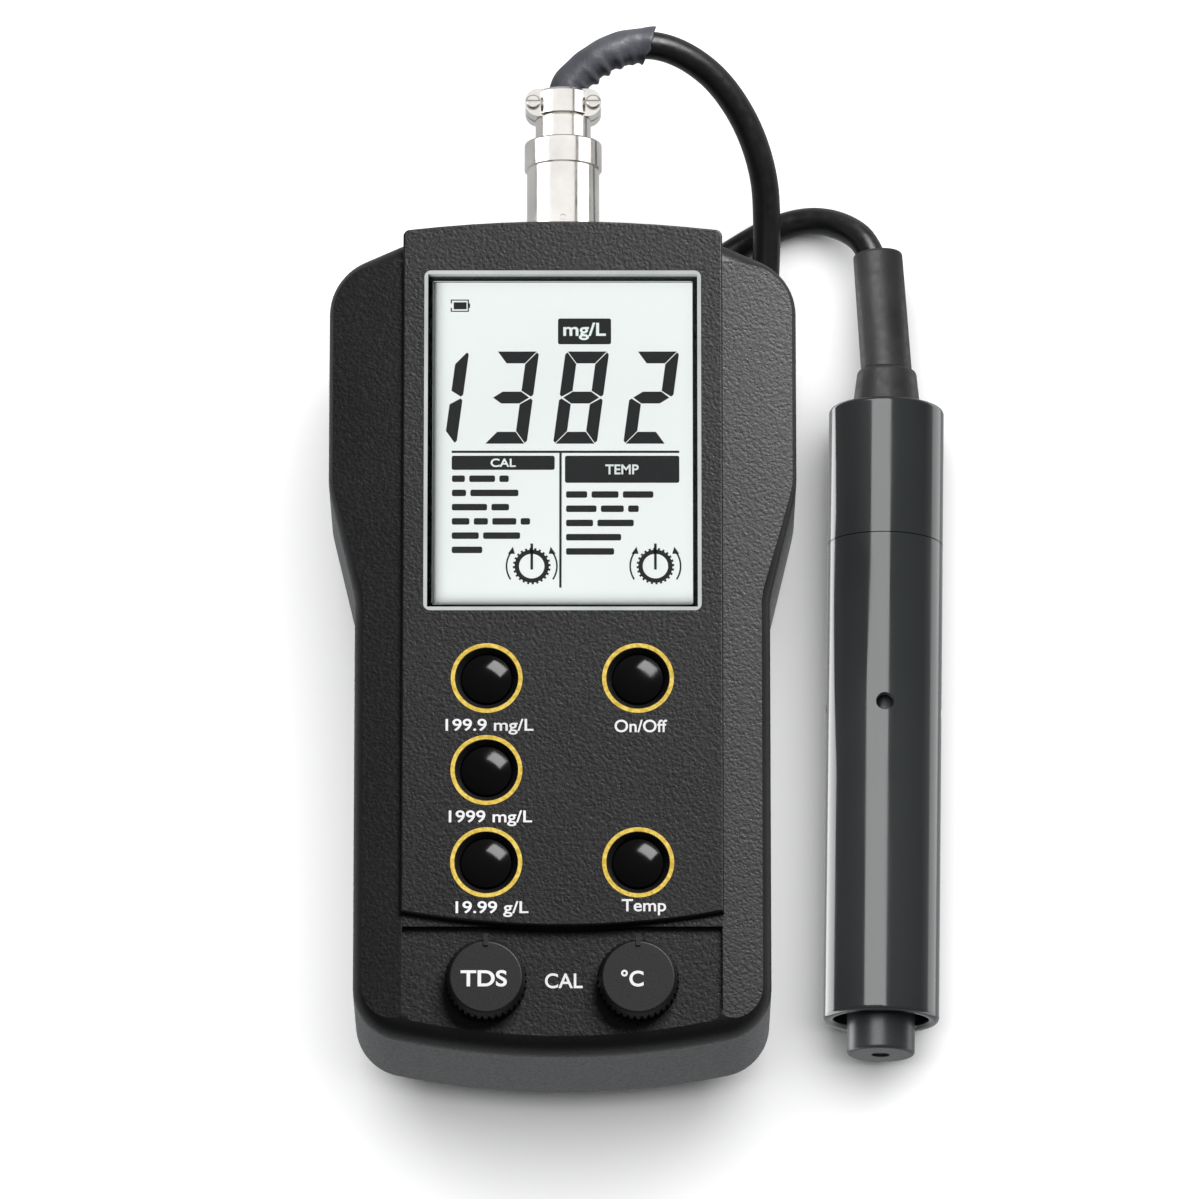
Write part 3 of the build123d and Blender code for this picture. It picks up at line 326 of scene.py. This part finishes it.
ink = {
    "white": fine_moulding("print_white", (0.62, 0.62, 0.63), 0.5, 0.000005),
    "dark": fine_moulding("segment_dark", (0.002, 0.002, 0.003), 0.6, 0.000002),
    "pale": fine_moulding("segment_gap", (0.70, 0.75, 0.73), 0.4, 0.000002),
}
for entry in frame["record"]["subparts"]:
    mesh = nodes[entry["node"]].data
    mesh.materials.clear()
    mesh.materials.append(looks[entry["material_slot"]])
nodes["lens_gasket"].data.materials[0] = fine_moulding("lens_edge", (0.42, 0.44, 0.43), 0.3)


# Flat marks: lettering, display segments and icons

# Marks start just clear of their surface, and stand this proud of it, in millimetres
MARK_LIFT = 0.002
MARK_THICKNESS = 0.03
TEXT_HALF_DEPTH = 0.02


def evaluated_mesh(holder):
    """The mesh that a text or curve object makes; the object itself is removed."""
    depsgraph = bpy.context.evaluated_depsgraph_get()
    mesh = bpy.data.meshes.new_from_object(holder.evaluated_get(depsgraph))
    bpy.data.objects.remove(holder)
    return mesh


def new_piece(name, mesh, look, body):
    piece = bpy.data.objects.new(name, mesh)
    bpy.context.scene.collection.objects.link(piece)
    mesh.materials.clear()
    mesh.materials.append(look)
    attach(piece, body)
    return piece


class Marks:
    """Thin raised marks on one level, collected into one mesh."""

    def __init__(self, level):
        self.level = level
        self.shape = bmesh.new()

    def polygon(self, points):
        """A flat outline, in millimetres from the meter's middle, with a low wall round it."""
        low = [self.shape.verts.new(at(x, y, self.level + MARK_LIFT)) for x, y in points]
        high = [self.shape.verts.new(at(x, y, self.level + MARK_THICKNESS)) for x, y in points]
        self.shape.faces.new(high)
        self.shape.faces.new(low[::-1])
        for index in range(len(points)):
            after = (index + 1) % len(points)
            self.shape.faces.new((low[index], low[after], high[after], high[index]))

    def bar(self, x0, y0, x1, y1):
        self.polygon([(x0, y0), (x1, y0), (x1, y1), (x0, y1)])

    def rounded_bar(self, x0, y0, x1, y1, radius):
        points = []
        corners = ((x1 - radius, y1 - radius, 0), (x0 + radius, y1 - radius, 1),
                   (x0 + radius, y0 + radius, 2), (x1 - radius, y0 + radius, 3))
        for x, y, quarter in corners:
            for step in range(5):
                angle = (quarter + step / 4) * pi / 2
                points.append((x + radius * cos(angle), y + radius * sin(angle)))
        self.polygon(points)

    def arc(self, x, y, radius, width, start, end, steps=20):
        """Part of a ring between two angles in degrees."""
        turns = [radians(start + (end - start) * i / steps) for i in range(steps + 1)]
        inner, outer = radius - width / 2, radius + width / 2
        for one, two in zip(turns, turns[1:]):
            self.polygon([
                (x + inner * cos(one), y + inner * sin(one)),
                (x + outer * cos(one), y + outer * sin(one)),
                (x + outer * cos(two), y + outer * sin(two)),
                (x + inner * cos(two), y + inner * sin(two)),
            ])

    def piece(self, name, look, body, slot):
        mesh = bpy.data.meshes.new(name)
        bmesh.ops.recalc_face_normals(self.shape, faces=self.shape.faces)
        self.shape.to_mesh(mesh)
        self.shape.free()
        return new_piece(name, mesh, look, body)


def lettering(name, text, x, y, width, height, level, bold):
    """Raised print of generic words and numbers, set from its lower left corner to a size."""
    curve = bpy.data.curves.new(name, "FONT")
    curve.body = text
    curve.size = 1.0
    curve.extrude = TEXT_HALF_DEPTH
    curve.offset = bold
    holder = bpy.data.objects.new(name + "_draft", curve)
    bpy.context.scene.collection.objects.link(holder)
    bpy.context.view_layer.update()
    mesh = evaluated_mesh(holder)
    xs = [v.co.x for v in mesh.vertices]
    ys = [v.co.y for v in mesh.vertices]
    low_x, low_y = min(xs), min(ys)
    scale_x = width / (max(xs) - low_x)
    scale_y = height / (max(ys) - low_y)
    for vertex in mesh.vertices:
        share = (vertex.co.z + TEXT_HALF_DEPTH) / (2 * TEXT_HALF_DEPTH)
        rise = MARK_LIFT + share * MARK_THICKNESS
        across = x + (vertex.co.x - low_x) * scale_x
        along = y + (vertex.co.y - low_y) * scale_y
        vertex.co = at(across, along, level + rise)
    return mesh


def print_on(name, text, x, y, width, height, level, body, color="white", bold=0.012):
    mesh = lettering(name, text, x, y, width, height, level, bold)
    return new_piece(name, mesh, ink[color], body)


labels = [
    ("label_low", "199.9 mg/L", -19.8, -18.0, 14.9, 2.75),
    ("label_mid", "1999 mg/L", -19.2, -34.0, 14.1, 2.75),
    ("label_high", "19.99 g/L", -18.0, -49.8, 12.3, 2.75),
    ("label_power", "On/Off", 8.87, -17.6, 8.9, 2.2),
    ("label_temp", "Temp", 10.06, -49.5, 7.5, 2.8),
]
for name, text, x, y, width, height in labels:
    print_on(name, text, x, y, width, height, PLATE, "meter")
print_on("label_cal", "CAL", -2.89, -61.7, 6.35, 2.6, RECESS, "meter")
print_on("label_solids", "TDS", -17.1, -62.3, 7.8, 2.85, KNOB_TOP, "turn_solids", bold=0.02)
print_on("label_degrees", "°C", 9.95, -62.3, 3.8, 2.9, KNOB_TOP, "turn_temperature", bold=0.02)

DIGIT_HEIGHT = 16.4
DIGIT_PITCH = 12.0
DIGIT_WIDTH = 9.6
STROKE = 2.1
SLANT = 0.13
DIGIT_TOP = 50.5
SEGMENTS = {
    1: "bc",
    3: "abcdg",
    8: "abcdefg",
    2: "abdeg",
}


def digit(marks, left, value):
    """Slanted seven-segment figure with mitred strokes."""
    half = DIGIT_HEIGHT / 2
    width = DIGIT_WIDTH - SLANT * DIGIT_HEIGHT
    gap = 0.16
    stroke = STROKE

    def lean(points):
        return [(left + x + SLANT * y, DIGIT_TOP - DIGIT_HEIGHT + y) for x, y in points]

    def level_stroke(y, upper):
        reach = stroke if upper else -stroke
        return [
            (gap + 0.25, y), (width - gap - 0.25, y),
            (width - stroke - gap + 0.1, y - reach), (stroke + gap - 0.1, y - reach),
        ]

    def side_stroke(x, low, high, inward):
        inner = x + inward * stroke
        foot_cut, head_cut = (stroke, stroke / 2) if low == 0 else (stroke / 2, stroke)
        return [
            (x, low + gap + 0.35), (x, high - gap - 0.35),
            (x + inward * 0.35, high - gap),
            (inner, high - head_cut - gap), (inner, low + foot_cut + gap),
            (x + inward * 0.35, low + gap),
        ]

    shapes = {
        "a": level_stroke(DIGIT_HEIGHT, True),
        "d": level_stroke(0, False),
        "b": side_stroke(width, half, DIGIT_HEIGHT, -1),
        "c": side_stroke(width, 0, half, -1),
        "e": side_stroke(0, 0, half, 1),
        "f": side_stroke(0, half, DIGIT_HEIGHT, 1),
        "g": [
            (gap + 0.5, half),
            (stroke + gap - 0.1, half + stroke / 2),
            (width - stroke - gap + 0.1, half + stroke / 2),
            (width - gap - 0.5, half),
            (width - stroke - gap + 0.1, half - stroke / 2),
            (stroke + gap - 0.1, half - stroke / 2),
        ],
    }
    for letter in SEGMENTS[value]:
        marks.polygon(lean(shapes[letter]))


KNURLS = 24
ARROW_RADIUS = 4.3
ARROW_REACH = 33
ARROW_TIP = 36


def knob_icon(marks, x, y):
    """A knurled knob with its pointer, between two turning arrows."""
    marks.arc(x, y, 2.55, 0.75, 0, 360, 36)
    for index in range(KNURLS):
        angle = 360 / KNURLS * index
        marks.arc(x, y, 3.05, 0.35, angle, angle + 7, 1)
    marks.bar(x - 0.22, y - 0.6, x + 0.22, y + 4.0)
    for side in (-1, 1):
        middle = 90 - side * 90
        marks.arc(x, y, ARROW_RADIUS, 0.28, middle - ARROW_REACH, middle + ARROW_REACH, 12)
        tip = radians(middle + side * ARROW_TIP)
        tip_x = x + ARROW_RADIUS * cos(tip)
        tip_y = y + ARROW_RADIUS * sin(tip)
        foot = tip_y - 0.35
        marks.polygon([(tip_x - 0.6, foot), (tip_x + 0.6, foot), (tip_x - side * 0.25, tip_y + 0.9)])


def greeked_lines(marks, x, y, lines):
    """Word-like bars in place of the small print, which isn't copied."""
    for row, words in enumerate(lines):
        left = x
        for length in words:
            foot = y - row * 2.52
            marks.rounded_bar(left, foot, left + length, foot + 1.15, 0.3)
            left += length + 0.75


def battery_icon(marks):
    """A cell with its outline open at the left and its pole at the right."""
    marks.bar(-18.7, 58.05, -16.5, 59.3)
    marks.bar(-19.2, 57.6, -16.1, 57.78)
    marks.bar(-19.2, 59.6, -16.1, 59.78)
    marks.bar(-19.2, 57.6, -19.0, 58.3)
    marks.bar(-19.2, 59.1, -19.0, 59.78)
    marks.bar(-16.3, 57.6, -16.1, 59.78)
    marks.bar(-16.1, 58.3, -15.9, 59.1)


def display_marks():
    marks = Marks(GLASS)
    for index, value in enumerate((1, 3, 8, 2)):
        digit(marks, 19.97 - DIGIT_WIDTH - (3 - index) * DIGIT_PITCH, value)
    marks.bar(-18.96, 32.45, 19.94, 32.85)
    marks.bar(-0.56, 8.6, -0.16, 32.45)
    marks.rounded_bar(-18.96, 29.45, -1.36, 31.95, 0.35)
    marks.rounded_bar(0.41, 27.15, 19.94, 31.95, 0.35)
    marks.rounded_bar(-0.81, 51.8, 8.28, 56.4, 0.35)
    battery_icon(marks)
    greeked_lines(marks, -18.9, 27.3, (
        (2.2, 4.4, 1.6), (2.4, 8.2), (6.0, 3.0), (3.0, 2.4, 4.1, 1.6), (4.6, 6.3), (5.2,),
    ))
    greeked_lines(marks, 0.6, 24.5, (
        (3.6, 4.6, 5.2), (5.2, 3.9, 1.8), (4.6, 6.2), (9.4,), (8.2,),
    ))
    knob_icon(marks, -5.25, 12.4)
    knob_icon(marks, 15.84, 12.4)
    return marks.piece("display_marks", ink["dark"], "meter", "display")


display_marks()
print_on("display_unit", "mg/L", 0.1, 52.55, 7.3, 3.1, GLASS + 0.03, "meter", "pale", 0.02)
print_on("display_cal", "CAL", -12.3, 29.95, 4.3, 1.5, GLASS + 0.03, "meter", "pale", 0.02)
print_on("display_temp", "TEMP", 7.3, 28.65, 5.7, 1.75, GLASS + 0.03, "meter", "pale", 0.02)


# Cable: one line from the probe's boot, round the coil and up to the plug

PLUG_AXIS = 28.5
plug_route = [
    (0.0, 96.7, PLUG_AXIS),
    (0.0, 101.8, PLUG_AXIS),
    (2.9, 105.5, PLUG_AXIS),
    (7.1, 108.6, PLUG_AXIS),
    (11.8, 110.4, 28.1),
    (16.7, 110.8, 27.2),
    (22.2, 109.1, 25.2),
    (27.6, 105.3, 22.5),
    (32.4, 98.6, 18.8),
    (35.2, 90.6, 15.0),
    (35.6, 82.6, 11.8),
    (35.4, 75.0, 8.4),
    (34.9, 67.5, 6.0),
    (33.6, 58.5, 5.7),
    (31.4, 48.0, 6.8),
    (29.8, 36.5, 7.7),
]
probe_route = [
    (-5.0, 56.2, 2.7),
    (8.0, 65.0, 2.5),
    (20.0, 73.7, 2.45),
    (29.5, 80.4, 2.5),
    (37.0, 84.9, 2.6),
    (44.3, 86.1, 4.3),
    (50.1, 83.5, 7.2),
    (53.6, 79.5, 9.2),
    (55.1, 73.4, 10.0),
]
COIL_X, COIL_Y = 0.0, 24.0
COIL_OUTER, COIL_INNER = 29.1, 19.3
COIL_LOWER, COIL_UPPER = 2.95, 7.85
COIL_EXIT_ANGLE = 125.0
COIL_TURNS = 4.0 + (360.0 - COIL_EXIT_ANGLE) / 360.0
STEPS_PER_TURN = 16


def coil_points():
    """Two rounds in on the lower layer, a climb on the inner round, and two rounds out on the upper."""
    swell = 0.5 + 0.5 * cos(pi / STEPS_PER_TURN) ** 2
    climb = COIL_TURNS - 4.0
    points = []
    for step in range(int(COIL_TURNS * STEPS_PER_TURN) + 1):
        turn = step / STEPS_PER_TURN
        inward = min(turn, 2.0) / 2.0
        outward = max(turn - 2.0 - climb, 0.0) / 2.0
        radius = COIL_OUTER - (COIL_OUTER - COIL_INNER) * (inward - outward)
        rise = min(max((turn - 2.0) / climb, 0.0), 1.0)
        angle = radians(COIL_EXIT_ANGLE) + tau * turn
        points.append((
            COIL_X + radius / swell * cos(angle),
            COIL_Y + radius / swell * sin(angle),
            COIL_LOWER + (COIL_UPPER - COIL_LOWER) * rise,
        ))
    return points


def spline_curve(name, points, bevel):
    curve = bpy.data.curves.new(name, "CURVE")
    curve.dimensions = "3D"
    curve.resolution_u = 8
    curve.bevel_depth = bevel
    curve.bevel_resolution = 5
    curve.use_fill_caps = True
    spline = curve.splines.new("NURBS")
    spline.points.add(len(points) - 1)
    for control, point in zip(spline.points, points):
        control.co = (*at(*point), 1)
    spline.order_u = 3
    spline.use_endpoint_u = True
    return curve


def centreline(points):
    """Points read from the cable's own smooth line."""
    curve = spline_curve("line_draft", points, 0)
    holder = bpy.data.objects.new("line_draft", curve)
    bpy.context.scene.collection.objects.link(holder)
    bpy.context.view_layer.update()
    return [v.co.copy() for v in evaluated_mesh(holder).vertices]


cord_points = probe_route[::-1] + coil_points() + plug_route[::-1]
cord_curve = spline_curve("cable", cord_points, CORD_RADIUS * MM)
cord_curve.materials.append(looks["cord"])
cable = bpy.data.objects.new("cable", cord_curve)
bpy.context.scene.collection.objects.link(cable)
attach(cable, "probe_set")
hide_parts("cord_plug_run", "cord_coil", "cord_probe_run")


# Shrink tube over the tight bend, wrinkled inside the bend and torn at its end

SHRINK_START = 0.8
SHRINK_LENGTH = 22.0
SHRINK_RADIUS = 3.07
SHRINK_STEPS = 90
RING_POINTS = 40
LOOK_AHEAD = 0.4
FOLD_DEPTH = 0.42
FOLD_RATE = 46.0
DENT_DEPTH = 0.16
FLARE = 0.34
FLARE_FROM = 0.93
TEAR_DEPTH = 0.9
LIP_GAP = 0.08


def path_reader(points):
    """A function that gives the point this many millimetres along the cable's line."""
    line = centreline(points)
    start = at(*points[0])
    if (line[0] - start).length >= (line[-1] - start).length:
        line = line[::-1]
    travelled = [0.0]
    for one, two in zip(line, line[1:]):
        travelled.append(travelled[-1] + (two - one).length / MM)

    def place(distance):
        index = max(i for i, t in enumerate(travelled) if t <= distance)
        index = min(index, len(line) - 2)
        part = (distance - travelled[index]) / (travelled[index + 1] - travelled[index])
        return line[index].lerp(line[index + 1], part)

    return place


def shrink_surface(share, angle):
    """Radius and tear, in millimetres, at this share of the length and angle round the tube."""
    inner_side = max(cos(angle), 0.0)
    wave = max(sin(share * FOLD_RATE + 0.8 * sin(angle)), -0.35)
    fold = FOLD_DEPTH * inner_side**2 * wave * sin(pi * share)
    dent = DENT_DEPTH * noise.noise(Vector((cos(angle) * 1.6, sin(angle) * 1.6, share * 9.0)))
    flare = FLARE * max(share - FLARE_FROM, 0.0) / (1 - FLARE_FROM)
    tear = -cos(angle) * share**12
    if share == 1:
        tear += TEAR_DEPTH * noise.noise(Vector((cos(angle) * 2.1, sin(angle) * 2.1, 4.2)))
    return SHRINK_RADIUS + fold + dent + flare, tear


def shrink_rings(shape):
    place = path_reader(plug_route)
    rings = []
    for step in range(SHRINK_STEPS + 1):
        share = step / SHRINK_STEPS
        distance = SHRINK_START + SHRINK_LENGTH * share
        middle = place(distance)
        ahead = (place(distance + LOOK_AHEAD) - place(distance - LOOK_AHEAD)).normalized()
        side = ahead.cross(Vector((0, 0, 1))).normalized()
        lift = side.cross(ahead).normalized()
        ring = []
        for index in range(RING_POINTS):
            angle = tau * index / RING_POINTS
            radius, tear = shrink_surface(share, angle)
            spread = side * cos(angle) + lift * sin(angle)
            ring.append(shape.verts.new(middle + spread * radius * MM + ahead * tear * MM))
        rings.append(ring)
    return rings


def shrink_tube():
    shape = bmesh.new()
    rings = shrink_rings(shape)
    for ring, after in zip(rings, rings[1:]):
        for index in range(RING_POINTS):
            two = (index + 1) % RING_POINTS
            shape.faces.new((ring[index], ring[two], after[two], after[index]))
    lip_radius = (CORD_RADIUS + LIP_GAP) * MM
    for ring in (rings[0], rings[-1]):
        hub = sum((v.co for v in ring), Vector()) / len(ring)
        lip = [shape.verts.new(hub + (v.co - hub).normalized() * lip_radius) for v in ring]
        for index in range(RING_POINTS):
            two = (index + 1) % RING_POINTS
            shape.faces.new((ring[index], lip[index], lip[two], ring[two]))
    mesh = bpy.data.meshes.new("shrink_tube")
    bmesh.ops.recalc_face_normals(shape, faces=shape.faces)
    shape.to_mesh(mesh)
    shape.free()
    mesh.shade_smooth()
    piece = new_piece("shrink_tube", mesh, looks["shrink"], "probe_set")
    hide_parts("shrink_sleeve")
    return piece


sleeve = shrink_tube()


# Floor, light and camera

FLOOR_HALF = 4.0


def floor():
    """White paper that stays out of reflections, so that it doesn't light the black housing."""
    mesh = bpy.data.meshes.new("floor")
    corners = [(x * FLOOR_HALF, y * FLOOR_HALF, 0) for x, y in ((-1, -1), (1, -1), (1, 1), (-1, 1))]
    mesh.from_pydata(corners, [], [(0, 1, 2, 3)])
    paper = Shader("paper", (0.93, 0.93, 0.93), 0.9, Specular_IOR_Level=0.1)
    paper.tint(paper.noise(3, 1), (0.925, 0.925, 0.925), (0.935, 0.935, 0.935))
    mesh.materials.append(paper.material)
    sheet = bpy.data.objects.new("floor", mesh)
    bpy.context.scene.collection.objects.link(sheet)
    sheet.visible_diffuse = False
    sheet.visible_glossy = False
    return sheet


def sky():
    """Dim studio light from above, and stronger light from below in place of the paper's own."""
    world = bpy.data.worlds.new("studio")
    world.use_nodes = True
    tree = world.node_tree
    place = tree.nodes.new("ShaderNodeTexCoord")
    height = tree.nodes.new("ShaderNodeSeparateXYZ")
    level = tree.nodes.new("ShaderNodeMapRange")
    for socket, value in (("From Min", -0.25), ("From Max", 0.1), ("To Min", 0.55), ("To Max", 0.10)):
        level.inputs[socket].default_value = value
    background = tree.nodes["Background"]
    tree.links.new(place.outputs["Generated"], height.inputs["Vector"])
    tree.links.new(height.outputs["Z"], level.inputs["Value"])
    tree.links.new(level.outputs["Result"], background.inputs["Strength"])
    background.inputs["Color"].default_value = (0.96, 0.98, 1.0, 1)
    bpy.context.scene.world = world


def panel(name, place, aim, width, length, power):
    """Rectangular soft light that looks at a point."""
    lamp = bpy.data.lights.new(name, "AREA")
    lamp.shape = "RECTANGLE"
    lamp.size = width
    lamp.size_y = length
    lamp.energy = power
    holder = bpy.data.objects.new(name, lamp)
    bpy.context.scene.collection.objects.link(holder)
    holder.location = place
    holder.rotation_euler = (Vector(aim) - Vector(place)).to_track_quat("-Z", "Y").to_euler()
    return holder


def only_for(lamp, pieces, unshaded=False):
    """Keeps a lamp to some pieces, as a flag keeps it off the rest in a studio."""
    group = bpy.data.collections.new(lamp.name + "_subjects")
    for piece in pieces:
        if piece.name not in group.objects:
            group.objects.link(piece)
    lamp.light_linking.receiver_collection = group
    if unshaded:
        lamp.light_linking.blocker_collection = group


paper_floor = floor()
sky()

probe_names = ("probe_handle", "probe_sleeve", "cord_boot", "boot_collar", "probe_tip", "electrode_core")
probe_pieces = [nodes[name] for name in probe_names]
plug_names = ("plug_shell", "latch_sleeve", "cable_clamp", "clamp_screws", "socket_shell", "socket_nut")
plug_pieces = [nodes[name] for name in plug_names]
bright_pieces = [o for o in bpy.data.objects if o.name.startswith(("label_", "display_"))]
bright_pieces += [nodes[name] for name in ("lcd_glass", "button_rings", "lens_gasket")]
dark_pieces = [o for o in nodes.values() if o not in probe_pieces + plug_pieces + bright_pieces]
dark_pieces += [cable, sleeve]

# Each lamp: name, place and aim in metres, width, length, power in watts, and what it lights
lamps = (
    ("key", (0.38, 0.66, 0.70), (0.16, 0.38, 0.0), 0.66, 0.56, 18.0, dark_pieces),
    ("display_light", (-0.9, -0.9, 1.6), (0, 0, 0), 1.2, 1.2, 70.0, bright_pieces),
    ("probe_top", (-0.28, 0.32, 0.80), (-0.28, 0.321, 0.0), 0.88, 1.0, 13.0, probe_pieces),
    ("plug_top", (-0.06, 0.34, 0.70), (-0.02, 0.1, 0.0), 1.2, 1.2, 4.6, plug_pieces),
    ("plug_right", (0.75, 0.2, 0.32), (0, 0.1, 0.02), 0.5, 0.6, 2.2, plug_pieces),
    ("plug_left", (-0.75, 0.2, 0.32), (0, 0.1, 0.02), 0.5, 0.6, 3.0, plug_pieces),
    ("sweep", (0.0, 0.7, 2.2), (0, 0.1, 0), 3.6, 3.0, 135.0, [paper_floor]),
)
for name, place, aim, width, length, power, subjects in lamps:
    only_for(panel(name, place, aim, width, length, power), subjects)

# Two strips on the paper beside the probe stand for the light that the paper throws up at it
for name, x, power in (("probe_left", 0.003, 0.085), ("probe_right", 0.084, 0.035)):
    strip = panel(name, (x, -0.01, 0.001), (x, -0.009, 1.0), 0.042, 0.17, power)
    strip.visible_camera = False
    only_for(strip, probe_pieces, True)

# The camera's tilt from straight down in degrees, and its lens, in millimetres like its place
CAMERA_PLACE = (6.3966, -507.10, 1960.35)
CAMERA_TILT = 15.0
SENSOR_WIDTH = 36.0
FOCAL_LENGTH = 349.4

camera = bpy.data.objects.new("camera", bpy.data.cameras.new("camera"))
camera.location = at(*CAMERA_PLACE)
camera.rotation_euler = (radians(CAMERA_TILT), 0, 0)
camera.data.sensor_width = SENSOR_WIDTH
camera.data.lens = FOCAL_LENGTH
camera.data.clip_end = 20.0
bpy.context.scene.collection.objects.link(camera)
bpy.context.scene.camera = camera
bpy.context.scene.view_settings.view_transform = "Standard"
